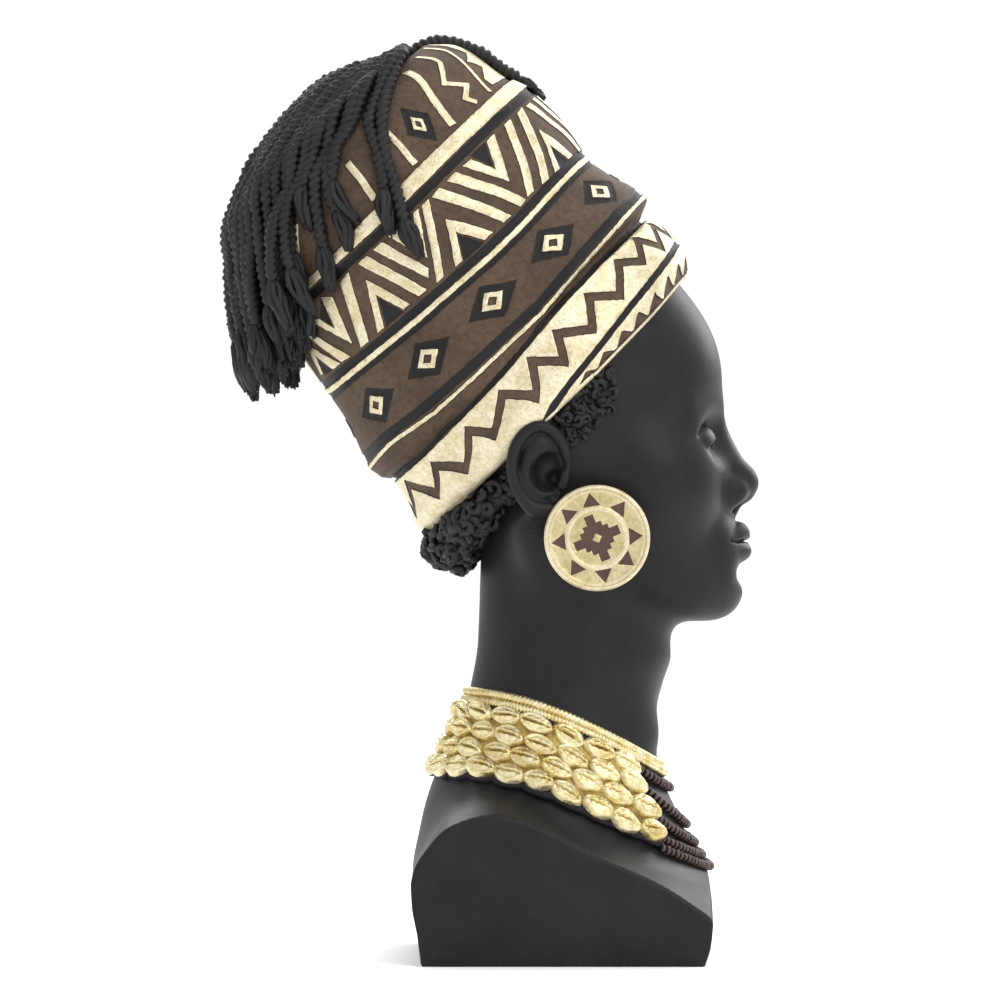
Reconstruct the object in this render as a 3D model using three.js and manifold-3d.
// Decorative bust of a woman with a patterned headwrap, braids, a cowrie collar and disc earrings.
// She faces +X, her left is +Y, and Z points up. The origin is the centre of the flat underside.
// The cast body is one solid; each earring is a solid of its own. All sizes are in millimetres.

import * as THREE from 'three';
import { mergeVertices } from 'three/addons/utils/BufferGeometryUtils.js';
import Module from 'manifold-3d';

const wasm = await Module();
wasm.setup();

// Driving dimensions of the chest block
const blockHalfWidth = 82;
const blockSectionCount = 13;
const blockTopPoints = 16;
const plateauHeight = 86;
const shoulderRise = 14;
const shoulderBlend = 9;

// Driving dimensions of the head
const headOrigin = { x: -1, z: 210 };
const headTilt = THREE.MathUtils.degToRad(8);
const ringPoints = 34;
const frontDensity = 0.7;

// Driving dimensions of the headwrap, which leans back
const wrapOrigin = { x: -1.3, z: 239.7 };
const wrapLean = THREE.MathUtils.degToRad(43.5);
const wrapSideRatio = 0.75;
const wrapSegments = 30;
const wrapTop = 150.3;
const domeHeight = 15.5;
const domeShape = 1.2;

// Driving dimensions of the braids
const braidRadius = 4.6;
const braidSides = 4;
const braidSteps = 7;
const braidRimRise = 3.5;
const braidRimDrop = 6;
const braidTipInward = 9;
const frontBraidRadius = 4.9;
const frontBraidEnds = [[3, 98], [10, 112]];
const sideBraidEnds = [[43, 304], [72, 300], [96, 287]];
const curtainAngle = 112;
const curtainBraids = 9;
const curtainSteps = 8;
const curtainGroove = 3.5;
const curtainDepth = 30;
const curtainDomeLift = 4;
const curtainSideTip = 282;
const curtainBackTip = 239;
const tipSpread = 2.5;

// Driving dimensions of the ears and earrings
const earCentre = { x: -10.5, y: 52.5, z: 214 };
const earHalfWidth = 12.5;
const earHalfHeight = 20;
const earLean = headTilt + THREE.MathUtils.degToRad(9);
const earSegments = 14;
const earringCentre = { x: 15.7, y: 62, z: 181.1 };
const earringRadius = 22.6;
const earringThickness = 3.6;
const earringRim = 2;
const earringSegments = 28;
const earPostRadius = 2;
const earPostLength = 4;
const earPostPlace = { x: -17, z: 9 };

// Driving dimensions of the short curls
const curlDepth = 0.13;

// Driving dimensions of the choker, the collar and the bead strings
const chokerHeight = 5;
const chokerThickness = 2.6;
const chokerSegments = 24;
const collarFrontAngle = 42;
const collarThickness = 3.6;
const shellRows = 4;
const shellsPerRow = 18;
const shellHeight = 3;
const beadRadius = 1.9;
const beadSteps = 8;

// Edges shorter than this are drawn together after the joins
const shortestEdge = 0.3;

// Small helpers for numbers
const clamp = (value, low, high) => Math.min(Math.max(value, low), high);
const radians = (degrees) => THREE.MathUtils.degToRad(degrees);

function smoothStep(low, high, value) {
  const t = clamp((value - low) / (high - low), 0, 1);
  return t * t * (3 - 2 * t);
}

function smoothMin(a, b, blend) {
  const h = Math.max(blend - Math.abs(a - b), 0) / blend;
  return Math.min(a, b) - h * h * blend * 0.25;
}

const smoothMax = (a, b, blend) => -smoothMin(-a, -b, blend);

// A smooth curve through knots [place, value] whose places rise, with flat ends
function smoothCurve(knots) {
  const slopes = knots.map((knot, i) => {
    if (i === 0 || i === knots.length - 1) return 0;
    const left = (knot[1] - knots[i - 1][1]) / (knot[0] - knots[i - 1][0]);
    const right = (knots[i + 1][1] - knot[1]) / (knots[i + 1][0] - knot[0]);
    return left * right > 0 ? 2 * left * right / (left + right) : 0;
  });
  const last = knots.length - 1;
  slopes[0] = (knots[1][1] - knots[0][1]) / (knots[1][0] - knots[0][0]);
  slopes[last] = (knots[last][1] - knots[last - 1][1]) / (knots[last][0] - knots[last - 1][0]);
  return (place) => {
    const at = clamp(place, knots[0][0], knots[last][0]);
    let i = 0;
    while (i < last - 1 && at > knots[i + 1][0]) i += 1;
    const width = knots[i + 1][0] - knots[i][0];
    const t = (at - knots[i][0]) / width;
    const value = (2 * t ** 3 - 3 * t ** 2 + 1) * knots[i][1]
      + (t ** 3 - 2 * t ** 2 + t) * width * slopes[i]
      + (-2 * t ** 3 + 3 * t ** 2) * knots[i + 1][1]
      + (t ** 3 - t ** 2) * width * slopes[i + 1];
    return value;
  };
}

// The place between inside and outside where a field changes sign
function crossing(field, inside, outside) {
  let low = inside;
  let high = outside;
  for (let i = 0; i < 26; i += 1) {
    const middle = (low + high) / 2;
    if (field(middle) < 0) low = middle;
    else high = middle;
  }
  return (low + high) / 2;
}

// The first place along a ray where a field changes sign
function firstExit(field, reach, step) {
  let inside = 0;
  while (inside < reach && field(inside + step) < 0) inside += step;
  return crossing(field, inside, inside + step);
}

// A closed solid from points and triangles, turned so that its faces point out
function solidFromMesh(points, triangles) {
  let volume = 0;
  for (const [a, b, c] of triangles) volume += points[a].dot(points[b].clone().cross(points[c]));
  const ordered = volume > 0 ? triangles : triangles.map(([a, b, c]) => [a, c, b]);
  const vertProperties = new Float32Array(points.flatMap((point) => point.toArray()));
  const triVerts = new Uint32Array(ordered.flat());
  return new wasm.Manifold(new wasm.Mesh({ numProp: 3, vertProperties, triVerts }));
}

// A closed solid from a three.js geometry, placed by a matrix
function solidFromGeometry(geometry, matrix) {
  const bare = geometry.index ? geometry.clone() : geometry;
  bare.deleteAttribute('normal');
  bare.deleteAttribute('uv');
  const merged = mergeVertices(bare, 1e-4);
  merged.applyMatrix4(matrix);
  const position = merged.getAttribute('position');
  const points = Array.from({ length: position.count }, (unused, i) => new THREE.Vector3()
    .fromBufferAttribute(position, i));
  const triangles = [];
  for (let i = 0; i < merged.index.count; i += 3) {
    const corners = [0, 1, 2].map((k) => merged.index.getX(i + k));
    if (new Set(corners).size === 3) triangles.push(corners);
  }
  return solidFromMesh(points, triangles);
}

// A closed solid through rings with the same number of points, capped by fans at both ends
function loft(rings) {
  const count = rings[0].length;
  const points = rings.flat();
  const triangles = [];
  for (let k = 0; k < rings.length - 1; k += 1) {
    for (let j = 0; j < count; j += 1) {
      const a = k * count + j;
      const b = k * count + (j + 1) % count;
      triangles.push([a, b, b + count], [a, b + count, a + count]);
    }
  }
  for (const [ring, turned] of [[0, true], [rings.length - 1, false]]) {
    const centre = new THREE.Vector3();
    for (const point of rings[ring]) centre.addScaledVector(point, 1 / count);
    points.push(centre);
    const middle = points.length - 1;
    for (let j = 0; j < count; j += 1) {
      const a = ring * count + j;
      const b = ring * count + (j + 1) % count;
      triangles.push(turned ? [b, a, middle] : [a, b, middle]);
    }
  }
  return solidFromMesh(points, triangles);
}

// A closed ring-shaped solid: sections that follow each other around a loop
function closedLoop(sections) {
  const count = sections[0].length;
  const points = sections.flat();
  const triangles = [];
  for (let k = 0; k < sections.length; k += 1) {
    const next = ((k + 1) % sections.length) * count;
    for (let j = 0; j < count; j += 1) {
      const a = k * count + j;
      const b = k * count + (j + 1) % count;
      const c = next + (j + 1) % count;
      const d = next + j;
      triangles.push([a, b, c], [a, c, d]);
    }
  }
  return solidFromMesh(points, triangles);
}

// A tube with few sides along a curve, thinner at its ends
function tube(curve, steps, sides, radiusAt) {
  const frames = curve.computeFrenetFrames(steps, false);
  const rings = [];
  for (let k = 0; k <= steps; k += 1) {
    const centre = curve.getPointAt(k / steps);
    const radius = radiusAt(k / steps);
    rings.push(Array.from({ length: sides }, (unused, j) => {
      const angle = 2 * Math.PI * (j + 0.5 * (k % 2)) / sides;
      return centre.clone()
        .addScaledVector(frames.normals[k], radius * Math.cos(angle))
        .addScaledVector(frames.binormals[k], radius * Math.sin(angle));
    }));
  }
  return loft(rings);
}

const joinAll = (solids) => solids.reduce((sum, solid) => sum.add(solid));

// Distances to simple forms, from a point [x, y, z]
function ellipsoid(point, centre, radii) {
  const offset = point.map((value, i) => value - centre[i]);
  const near = Math.hypot(...offset.map((value, i) => value / radii[i]));
  const far = Math.hypot(...offset.map((value, i) => value / radii[i] ** 2));
  return far > 0 ? near * (near - 1) / far : -Math.min(...radii);
}

function capsule(point, start, end, startRadius, endRadius) {
  const along = end.map((value, i) => value - start[i]);
  const offset = point.map((value, i) => value - start[i]);
  const length = along.reduce((sum, value) => sum + value * value, 0);
  const t = clamp(offset.reduce((sum, value, i) => sum + value * along[i], 0) / length, 0, 1);
  const gap = Math.hypot(...offset.map((value, i) => value - t * along[i]));
  return gap - startRadius - t * (endRadius - startRadius);
}

// Neck and its flare into the chest: reach to the front, back and side at each height
const neckFront = smoothCurve([[36, 63.5], [46, 58.5], [62, 51.3], [77, 44.8], [91, 41.5], [105, 42],
  [118, 45], [130, 48.5], [170, 44]]);
const neckBack = smoothCurve([[36, 64.3], [46, 62.2], [62, 59], [77, 54.3], [91, 47], [105, 41],
  [115, 38.7], [136, 35.2], [170, 34]]);
const neckSide = smoothCurve([[36, 76], [46, 72], [62, 65.5], [77, 52.5], [91, 44], [105, 39],
  [117, 37], [136, 36], [170, 36]]);

function neckField(x, y, z) {
  const depth = (neckFront(z) + neckBack(z)) / 2;
  const middle = (neckFront(z) - neckBack(z)) / 2;
  const side = neckSide(z);
  return (Math.hypot((x - middle) / depth, y / side) - 1) * Math.min(depth, side);
}

// Height of the cut shoulder along its flat side face
const shoulderEdge = smoothCurve([[-64, 36], [-60, 45], [-46, 59.4], [-28, 63.8], [-14.6, 60.8],
  [12, 48], [43, 34], [66, 19]]);

function shoulderField(x, y, z) {
  const across = clamp(Math.abs(y) / blockHalfWidth, 0, 1);
  const rise = shoulderRise * smoothStep(-64, -34, x) * (1 - across * across);
  return 0.85 * (z - shoulderEdge(x) - rise);
}

const bodyField = (x, y, z) => smoothMin(neckField(x, y, z), shoulderField(x, y, z), shoulderBlend);

// Reach of the body's surface from the upright middle axis, at an angle and a height
function bodyReach(angle, z) {
  const field = (r) => bodyField(r * Math.cos(angle), r * Math.sin(angle), z);
  return crossing(field, 10, 110);
}

// A point at a distance off the body's surface, along its slope
function onBody(angle, z, lift) {
  const reach = bodyReach(angle, z);
  const lower = bodyReach(angle, z - 1.5);
  const slope = Math.atan2(lower - reach, 1.5);
  const r = reach + lift * Math.cos(slope);
  return new THREE.Vector3(r * Math.cos(angle), r * Math.sin(angle), z + lift * Math.sin(slope));
}

// Chest block: sections side by side along Y, flat below and at both sides
function chestBlock() {
  const backFoot = [[-59, 0], [-60.5, 12], [-63, 26]];
  const frontFoot = [[64.6, 15], [63.6, 7], [61, 0]];
  const sections = [];
  for (let k = 0; k < blockSectionCount; k += 1) {
    const y = blockHalfWidth * Math.sin((k / (blockSectionCount - 1) - 0.5) * Math.PI * 0.94)
      / Math.sin(0.47 * Math.PI);
    const outline = [...backFoot];
    for (let i = 0; i <= blockTopPoints; i += 1) {
      const x = 0.8 - 64.8 * Math.cos(Math.PI * i / blockTopPoints);
      const field = (z) => bodyField(x, y, z);
      outline.push([x, field(plateauHeight) < 0 ? plateauHeight : crossing(field, 10, plateauHeight)]);
    }
    outline.push(...frontFoot);
    sections.push(outline.map(([x, z]) => new THREE.Vector3(x, y, z)));
  }
  return loft(sections);
}

// Face and skull in the head's own frame: x forward from the ears, z up, the same on both sides
function headField(x, side, z) {
  const y = Math.abs(side);
  const p = [x, y, z];
  let d = ellipsoid(p, [2, 0, 42], [72, 54, 60]);
  d = smoothMin(d, ellipsoid(p, [10, 0, 8], [56, 50, 54]), 12);
  d = smoothMin(d, ellipsoid(p, [35, 0, -8], [38, 42, 61]), 14);
  d = smoothMin(d, ellipsoid(p, [44, 29, -12], [19, 16, 17]), 18);
  d = smoothMin(d, capsule(p, [10, 29, -38], [52, 12, -57], 10, 12), 20);
  d = smoothMin(d, ellipsoid(p, [61, 0, -61], [11.5, 14, 12]), 14);
  d = smoothMin(d, ellipsoid(p, [52, 0, 34], [21, 32, 24]), 14);
  d = smoothMin(d, capsule(p, [65, 6, 17], [55.5, 29, 18], 4.5, 4), 12);
  d = smoothMax(d, -ellipsoid(p, [77, 20, 5], [13, 12, 9]), 9);
  d = smoothMin(d, ellipsoid(p, [63, 0, -43], [12, 20, 16]), 10);
  d = smoothMin(d, ellipsoid(p, [56.6, 21.2, 4.5], [12.2, 14.6, 10.4]), 3);
  d = smoothMin(d, capsule(p, [61, 0, 14], [69, 0, -16], 6.5, 11.5), 9);
  d = smoothMin(d, capsule(p, [67.2, 0, 10], [77, 0, -15], 4, 6.4), 7);
  d = smoothMin(d, ellipsoid(p, [78.6, 0, -18.4], [7.8, 8.6, 7.2]), 6);
  d = smoothMin(d, ellipsoid(p, [72, 10.4, -20.5], [8.4, 5.2, 6.2]), 5);
  d = smoothMin(d, capsule(p, [73, 4, -37], [66.4, 18.6, -41.6], 5, 1.6), 3.2);
  d = smoothMin(d, capsule(p, [72.2, 4.5, -47], [66.4, 17, -43.6], 6.2, 2.2), 3.2);
  return smoothMax(d, -capsule(p, [80.5, 0, -42], [69, 19, -42], 1.2, 1), 3);
}

// The head's frame in the figure: forward and up in the X, Z plane
const headForward = { x: Math.cos(headTilt), z: Math.sin(headTilt) };

function headPoint(x, y, z) {
  const forward = x * headForward.x - z * headForward.z;
  const up = x * headForward.z + z * headForward.x;
  return new THREE.Vector3(headOrigin.x + forward, y, headOrigin.z + up);
}

function skinField(x, y, z) {
  const dx = x - headOrigin.x;
  const dz = z - headOrigin.z;
  const head = headField(
    dx * headForward.x + dz * headForward.z, y, dz * headForward.x - dx * headForward.z);
  const muscle = capsule([x, Math.abs(y), z], [-14, 42, 186], [36, 12, 96], 6, 5);
  return smoothMin(smoothMin(head, neckField(x, y, z), 10), muscle, 10);
}

// One ring of the neck and head, in a plane that tilts with the head
function skinRing(centre, tilt) {
  return Array.from({ length: ringPoints }, (unused, j) => {
    const t = 2 * Math.PI * j / ringPoints;
    const angle = t - frontDensity * Math.sin(t);
    const direction = new THREE.Vector3(
      Math.cos(angle) * Math.cos(tilt), Math.sin(angle), Math.cos(angle) * Math.sin(tilt));
    const field = (r) => {
      const point = centre.clone().addScaledVector(direction, r);
      return skinField(point.x, point.y, point.z);
    };
    return centre.clone().addScaledVector(direction, firstExit(field, 110, 1.5));
  });
}

// Neck and head in one loft, from inside the chest block to inside the headwrap
function neckAndHead() {
  const rings = [];
  const root = skinRing(new THREE.Vector3(0, 0, plateauHeight - 0.8), 0);
  rings.push(root.map((point) => new THREE.Vector3(0.9 * point.x, 0.9 * point.y, 60)));
  rings.push(root);
  const neckTop = headPoint(8, 0, -76);
  const neckRings = 6;
  for (let k = 1; k <= neckRings; k += 1) {
    const t = k / neckRings;
    const centre = new THREE.Vector3(0, 0, plateauHeight).lerp(neckTop, t);
    rings.push(skinRing(centre, headTilt * t));
  }
  const faceHeights = [-72.5, -69, -64.5, -60, -56, -52, -48.5, -45, -42, -38.5, -35, -31.5, -28, -24.5, -21,
    -16.5, -11, -5, 0, 5, 10, 15, 20, 27, 36, 46, 58, 70];
  for (const z of faceHeights) rings.push(skinRing(headPoint(10, 0, z), headTilt));
  return loft(rings);
}

// Headwrap: reach to the front and back of its leaning axis, at each place along the axis
const wrapFront = smoothCurve([[-2, 78], [2, 80.5], [9, 85.5], [27, 85.3], [32, 81.5], [36.5, 89.5],
  [43, 88.8], [54, 85.6], [66, 82.8], [84, 85.5], [99.5, 85.7], [107, 84.6], [117, 80.8], [134, 77.8],
  [142, 75], [150.5, 66.8]]);
const wrapBack = smoothCurve([[-2, 78], [2, 80], [12, 76], [23.5, 74.3], [28, 77.3], [33, 78.2],
  [47, 74.5], [64, 70], [85, 66.9], [102.5, 63.8], [130, 57], [150.5, 48]]);

const wrapUp = { x: -Math.sin(wrapLean), z: Math.cos(wrapLean) };

function wrapPoint(u, y, w) {
  return new THREE.Vector3(
    wrapOrigin.x + u * wrapUp.z + w * wrapUp.x, y, wrapOrigin.z - u * wrapUp.x + w * wrapUp.z);
}

function wrapEllipse(w) {
  const depth = (wrapFront(w) + wrapBack(w)) / 2;
  return { middle: (wrapFront(w) - wrapBack(w)) / 2, depth, side: depth * wrapSideRatio };
}

function wrapRing(w, scale) {
  const { middle, depth, side } = wrapEllipse(w);
  return Array.from({ length: wrapSegments }, (unused, j) => {
    const angle = 2 * Math.PI * j / wrapSegments;
    return wrapPoint(middle + scale * depth * Math.cos(angle), scale * side * Math.sin(angle), w);
  });
}

// Rise of the dome of braids over the wrap's open top: share 1 is its rim
const domeRise = (share) => domeHeight * Math.max(0, 1 - share * share) ** domeShape;

function headwrap() {
  const heights = [2, 9, 27, 32, 36.5, 43, 66, 84, 107, 109, 115.5, 117.5, 134, wrapTop];
  const strapLow = 108;
  const strapHigh = 116;
  const strapLift = 1.02;
  const rings = [wrapRing(-0.5, 0.9)];
  for (const w of heights) rings.push(wrapRing(w, w > strapLow && w < strapHigh ? strapLift : 1));
  for (const share of [0.8, 0.4]) {
    const lift = domeRise(share) - 1.5;
    rings.push(wrapRing(wrapTop, share).map(
      (point) => point.add(new THREE.Vector3(wrapUp.x * lift, 0, wrapUp.z * lift))));
  }
  return loft(rings);
}

// A point on the dome of braids, at a share of the way from its middle to the rim
function domePoint(share, angle, lift) {
  const { middle, depth, side } = wrapEllipse(wrapTop);
  const u = middle + share * depth * Math.cos(angle);
  return wrapPoint(u, share * side * Math.sin(angle), wrapTop + domeRise(share) + lift);
}

// A braid's course: from the front of the crown over the dome, then down past the rim.
// A lift above zero carries it further off the dome and the wrap.
function braidCourse(rimAngle, tipHeight, lift, domeLift) {
  const angle = radians(rimAngle);
  const rim = wrapEllipse(wrapTop);
  const partingU = rim.middle + 0.86 * rim.depth;
  const endU = rim.middle + rim.depth * Math.cos(angle);
  const endY = rim.side * Math.sin(angle);
  const clear = braidRadius / 2 + lift;
  const points = [];
  for (const t of [0.04, 0.35, 0.7]) {
    const u = partingU + (endU - partingU) * t;
    const y = endY * Math.sin(t * Math.PI / 2) * 0.9;
    const share = Math.min(1, Math.hypot((u - rim.middle) / rim.depth, y / rim.side));
    const off = clear + domeLift * smoothStep(0, 0.3, t);
    points.push(domePoint(share, Math.atan2(y / rim.side, (u - rim.middle) / rim.depth), off));
  }
  const edge = wrapPoint(
    endU + clear * Math.cos(angle), endY + clear * Math.sin(angle), wrapTop + braidRimRise + clear / 2);
  points.push(edge);
  const drops = 4;
  let reach = Math.abs(edge.y);
  for (let k = 1; k <= drops; k += 1) {
    const z = edge.z - braidRimDrop + (tipHeight - edge.z + braidRimDrop) * k / drops;
    const x = edge.x + braidTipInward * (k / drops) ** 2;
    const u = (x - wrapOrigin.x) * wrapUp.z - (z - wrapOrigin.z) * wrapUp.x;
    const w = (x - wrapOrigin.x) * wrapUp.x + (z - wrapOrigin.z) * wrapUp.z;
    const { middle, depth, side } = wrapEllipse(w);
    const across = 1 - ((u - middle) / depth) ** 2;
    if (across > 0) reach = Math.max(reach, side * Math.sqrt(across) + clear);
    points.push(new THREE.Vector3(x, Math.sign(edge.y) * reach, z));
  }
  return new THREE.CatmullRomCurve3(points, false, 'centripetal');
}

// Braids that fall forward over the front of the wrap
function frontBraids() {
  return joinAll(frontBraidEnds.map(([y, endPlace]) => {
    const points = [domePoint(0.6, 0, -2), domePoint(0.95, 0, 1.5)];
    for (const t of [0, 0.5, 1]) {
      const w = wrapTop - braidRimDrop + (endPlace - wrapTop + braidRimDrop) * t;
      points.push(wrapPoint(wrapFront(w) + frontBraidRadius * 0.8 - t, 0, w));
    }
    for (const point of points) point.y = y;
    return tube(new THREE.CatmullRomCurve3(points), braidSteps, braidSides, () => frontBraidRadius);
  }));
}

function sideBraids() {
  const taper = (t) => braidRadius * (t > 0.9 ? 0.6 : 1);
  return joinAll(sideBraidEnds.flatMap(([rimAngle, tipHeight]) => [-1, 1].map(
    (turn) => tube(braidCourse(turn * rimAngle, tipHeight, 0, 0), braidSteps, braidSides, taper))));
}

// The thick curtain of braids that falls over the back of the wrap, ridged by its outer braids
function braidCurtain() {
  const span = 360 - 2 * curtainAngle;
  const lines = 2 * curtainBraids;
  const courses = Array.from({ length: lines + 1 }, (unused, i) => {
    const angle = curtainAngle + span * i / lines;
    const back = 1 - Math.abs(angle - 180) / (180 - curtainAngle);
    const tip = curtainSideTip + (curtainBackTip - curtainSideTip) * Math.sqrt(back);
    const rimAngle = angle > 180 ? angle - 360 : angle;
    const lift = i % 2 ? 0 : -curtainGroove;
    return braidCourse(rimAngle, tip + tipSpread * Math.cos(2.6 * i), lift, curtainDomeLift);
  });
  const sections = [];
  for (let k = 0; k <= curtainSteps; k += 1) {
    const t = k / curtainSteps;
    const outer = courses.map((course) => course.getPointAt(t));
    const middle = outer[curtainBraids];
    const depth = curtainDepth * (1 - 0.35 * smoothStep(0.75, 1, t));
    const sink = t < 0.35 ? curtainDepth / 2 : 0;
    const inner = [outer[lines - 2], middle, outer[2]].map((point) => new THREE.Vector3(
      point.x * 0.45 + middle.x * 0.55 + depth, point.y * 0.55, point.z - sink));
    sections.push([...outer, ...inner]);
  }
  return loft(sections);
}

// Short curls as a lumpy bed, at the nape and at both temples
function curlBed(centre, radii, detail, seed) {
  const geometry = new THREE.IcosahedronGeometry(1, detail);
  const position = geometry.getAttribute('position');
  const point = new THREE.Vector3();
  for (let i = 0; i < position.count; i += 1) {
    point.fromBufferAttribute(position, i);
    const lump = Math.sin(9 * point.x + seed) * Math.sin(8 * point.y + 2 * seed)
      * Math.sin(8.5 * point.z - seed);
    point.multiplyScalar(1 + curlDepth * lump);
    position.setXYZ(i, point.x, point.y, point.z);
  }
  return solidFromGeometry(geometry, new THREE.Matrix4().makeScale(...radii).setPosition(...centre));
}

function hairCurls() {
  return joinAll([
    curlBed([-35, 0, 180.5], [24, 45, 21], 3, 1),
    curlBed([13, -45, 235], [15, 10, 16], 2, 2),
    curlBed([13, 45, 235], [15, 10, 16], 2, 3),
  ]);
}

// An ear: a dish with a raised rim, standing out from the head
function ear(turn) {
  // Each ring: distance out from the head, size share and shift forward
  const profile = [[-9, 0.62, 3], [2, 0.92, 0], [4.6, 1, -1], [5.4, 0.9, -1], [4.4, 0.74, -0.6],
    [0.4, 0.58, 0.6]];
  const rings = profile.map(([lift, scale, shift]) => Array.from({ length: earSegments }, (unused, j) => {
    const angle = 2 * Math.PI * j / earSegments;
    const lobe = 1 - 0.24 * Math.max(0, -Math.sin(angle));
    const across = earHalfWidth * scale * lobe * Math.cos(angle) + shift;
    const up = earHalfHeight * scale * Math.sin(angle);
    return new THREE.Vector3(
      earCentre.x + across * Math.cos(earLean) - up * Math.sin(earLean), turn * (earCentre.y + lift),
      earCentre.z + across * Math.sin(earLean) + up * Math.cos(earLean));
  }));
  return loft(rings);
}

// A disc earring with a raised rim, its flat back towards the head, and the post to the ear lobe
function earring(turn) {
  const inset = earringRadius - earringRim;
  const profile = [[0, 0], [earringRadius, 0], [earringRadius, earringThickness - 0.8],
    [earringRadius - earringRim / 2, earringThickness], [inset, earringThickness - 0.2],
    [inset - 1, earringThickness - 1.2], [0, earringThickness - 1.2]];
  const disc = new THREE.LatheGeometry(profile.map(([r, z]) => new THREE.Vector2(r, z)), earringSegments);
  const back = turn * (earringCentre.y - earringThickness / 2);
  const matrix = new THREE.Matrix4().makeScale(1, turn, 1).setPosition(earringCentre.x, back, earringCentre.z);
  const post = new THREE.CylinderGeometry(earPostRadius, earPostRadius, earPostLength, 8);
  const postPlace = new THREE.Matrix4().makeTranslation(
    earringCentre.x + earPostPlace.x, back - turn * (earPostLength / 2 - 1), earringCentre.z + earPostPlace.z);
  return solidFromGeometry(disc, matrix).add(solidFromGeometry(post, postPlace));
}

// Height of the choker's upper edge around the neck: lower in front, raised at both sides
const chokerTop = (angle) => 100 - 16 * Math.cos(angle) + 7.5 * Math.sin(angle) ** 2;

function choker() {
  const sections = Array.from({ length: chokerSegments }, (unused, k) => {
    const angle = 2 * Math.PI * k / chokerSegments;
    const top = chokerTop(angle);
    return [[top, -2], [top, chokerThickness], [top - chokerHeight, chokerThickness], [top - chokerHeight, -2]]
      .map(([z, lift]) => {
        const reach = bodyReach(angle, z) + lift;
        return new THREE.Vector3(reach * Math.cos(angle), reach * Math.sin(angle), z);
      });
  });
  return closedLoop(sections);
}

// Height of the collar's lower edge, by the angle from the front
const collarLow = smoothCurve([[40, 45.5], [59, 52.5], [73, 59], [90, 67.5], [108, 73.5], [134, 77.3],
  [180, 78]]);

const foldAngle = (angle) => 180 - Math.abs(180 - angle);

function collarPoint(degrees, down, lift) {
  const angle = radians(degrees);
  const top = chokerTop(angle) - chokerHeight - 1.5;
  return onBody(angle, top + (collarLow(foldAngle(degrees)) - top) * down, lift);
}

// The collar: a curved band with four staggered rows of cowrie shells as long low bumps
function collar() {
  const span = 360 - 2 * collarFrontAngle;
  const stations = 3 * shellsPerRow;
  const sections = [];
  for (let k = 0; k <= stations; k += 1) {
    const degrees = collarFrontAngle + span * k / stations;
    const outer = [];
    for (let line = 0; line <= 2 * shellRows; line += 1) {
      const row = (line - 1) / 2;
      const shell = Math.sin(Math.PI * (k / 3 + (row % 2 ? 0.5 : 0))) ** 2;
      const lift = line % 2 ? collarThickness + shellHeight * shell : collarThickness;
      const edge = line === 2 * shellRows ? 0.012 * Math.cos(2 * Math.PI * k / 3) : 0;
      outer.push(collarPoint(degrees, line / (2 * shellRows) + edge, lift));
    }
    sections.push([...outer, collarPoint(degrees, 0.96, -3), collarPoint(degrees, 0.04, -3)]);
  }
  return loft(sections);
}

// Bead strings across the chest, hung between the two ends of the collar
function beadStrings() {
  const strings = [[84, 71.7], [77.5, 56], [63, 48], [53, 42.5], [48, 37.5]];
  const solids = strings.map(([endHeight, middleHeight]) => {
    const points = [];
    for (let k = -beadSteps / 2; k <= beadSteps / 2; k += 1) {
      const t = 2 * k / beadSteps;
      const z = middleHeight + (endHeight - middleHeight) * Math.abs(t) ** 1.6;
      points.push(onBody(radians(t * (collarFrontAngle + 3)), z, beadRadius * 0.4));
    }
    return tube(new THREE.CatmullRomCurve3(points), beadSteps, 3, () => beadRadius);
  });
  return joinAll(solids);
}

// A named mesh from a solid
function meshOf(name, solid, { colour, roughness, metalness }) {
  const { vertProperties, triVerts } = solid.getMesh();
  const geometry = new THREE.BufferGeometry();
  geometry.setAttribute('position', new THREE.BufferAttribute(vertProperties, 3));
  geometry.setIndex(new THREE.BufferAttribute(triVerts, 1));
  const material = new THREE.MeshStandardMaterial({ color: colour, roughness, metalness });
  const mesh = new THREE.Mesh(geometry, material);
  mesh.name = name;
  return mesh;
}

// The largest single body of a solid, without the specks and pockets that joins leave
function wholeBody(solid) {
  const bodies = solid.decompose().sort((a, b) => b.volume() - a.volume());
  return bodies[0];
}

// Whether a triangle's face turns over when one corner moves onto another point
function turnsOver(points, triangle, from, to) {
  const facing = (corners) => {
    const [a, b, c] = corners.map((k) => points[k]);
    return b.clone().sub(a).cross(c.clone().sub(a));
  };
  return facing(triangle).dot(facing(triangle.map((k) => (k === from ? to : k)))) <= 0;
}

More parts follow.
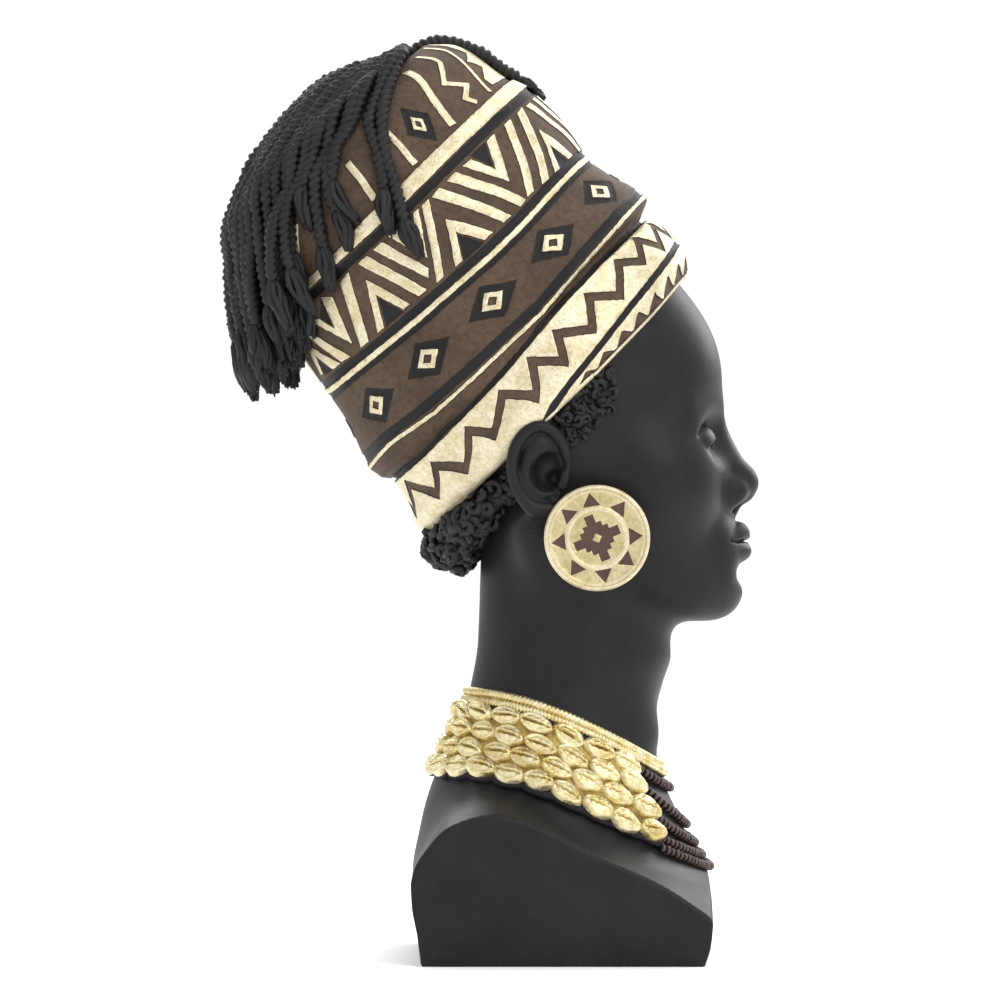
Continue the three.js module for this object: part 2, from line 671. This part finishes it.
// The same solid with its shortest edges drawn together, where joins leave slivers
function withoutSlivers(solid) {
  const { vertProperties, triVerts } = solid.getMesh();
  const threes = (values) => Array.from({ length: values.length / 3 }, (unused, i) => [
    values[3 * i], values[3 * i + 1], values[3 * i + 2]]);
  const points = threes(vertProperties).map((place) => new THREE.Vector3(...place));
  let triangles = threes(triVerts);
  for (let drawn = 1; drawn > 0;) {
    drawn = 0;
    const fans = points.map(() => []);
    for (const triangle of triangles) for (const corner of triangle) fans[corner].push(triangle);
    const busy = new Set();
    for (const triangle of triangles) {
      for (let side = 0; side < triangle.length; side += 1) {
        const from = triangle[side];
        const to = triangle[(side + 1) % triangle.length];
        if (busy.has(from) || busy.has(to) || points[from].distanceTo(points[to]) > shortestEdge) continue;
        const near = new Set(fans[to].flat());
        const shared = new Set(fans[from].flat().filter((k) => near.has(k) && k !== from && k !== to));
        const kept = fans[from].filter((other) => !other.includes(to));
        if (shared.size !== 2 || kept.some((other) => turnsOver(points, other, from, to))) continue;
        for (const k of [...fans[from].flat(), ...near]) busy.add(k);
        for (const other of kept) other[other.indexOf(from)] = to;
        for (const other of fans[from]) if (other.includes(from)) other.length = 0;
        drawn += 1;
      }
    }
    triangles = triangles.filter((triangle) => triangle.length === 3);
  }
  const used = [...new Set(triangles.flat())];
  const order = new Map(used.map((k, i) => [k, i]));
  const renumbered = triangles.map((triangle) => triangle.map((k) => order.get(k)));
  return solidFromMesh(used.map((k) => points[k]), renumbered);
}

function figure() {
  const body = joinAll([chestBlock(), neckAndHead(), headwrap(), hairCurls(), ear(-1), ear(1)]);
  const braids = [braidCurtain(), sideBraids(), frontBraids()];
  const whole = joinAll([body, ...braids, choker(), collar(), beadStrings()]);
  return withoutSlivers(wholeBody(whole));
}

const blackResin = { colour: 0x202022, roughness: 0.5, metalness: 0 };
const goldLeaf = { colour: 0xd8bf7a, roughness: 0.35, metalness: 0.8 };
const bust = new THREE.Group();
bust.add(meshOf('figure', figure(), blackResin));
bust.add(meshOf('earring_right', earring(-1), goldLeaf));
bust.add(meshOf('earring_left', earring(1), goldLeaf));

export default bust;
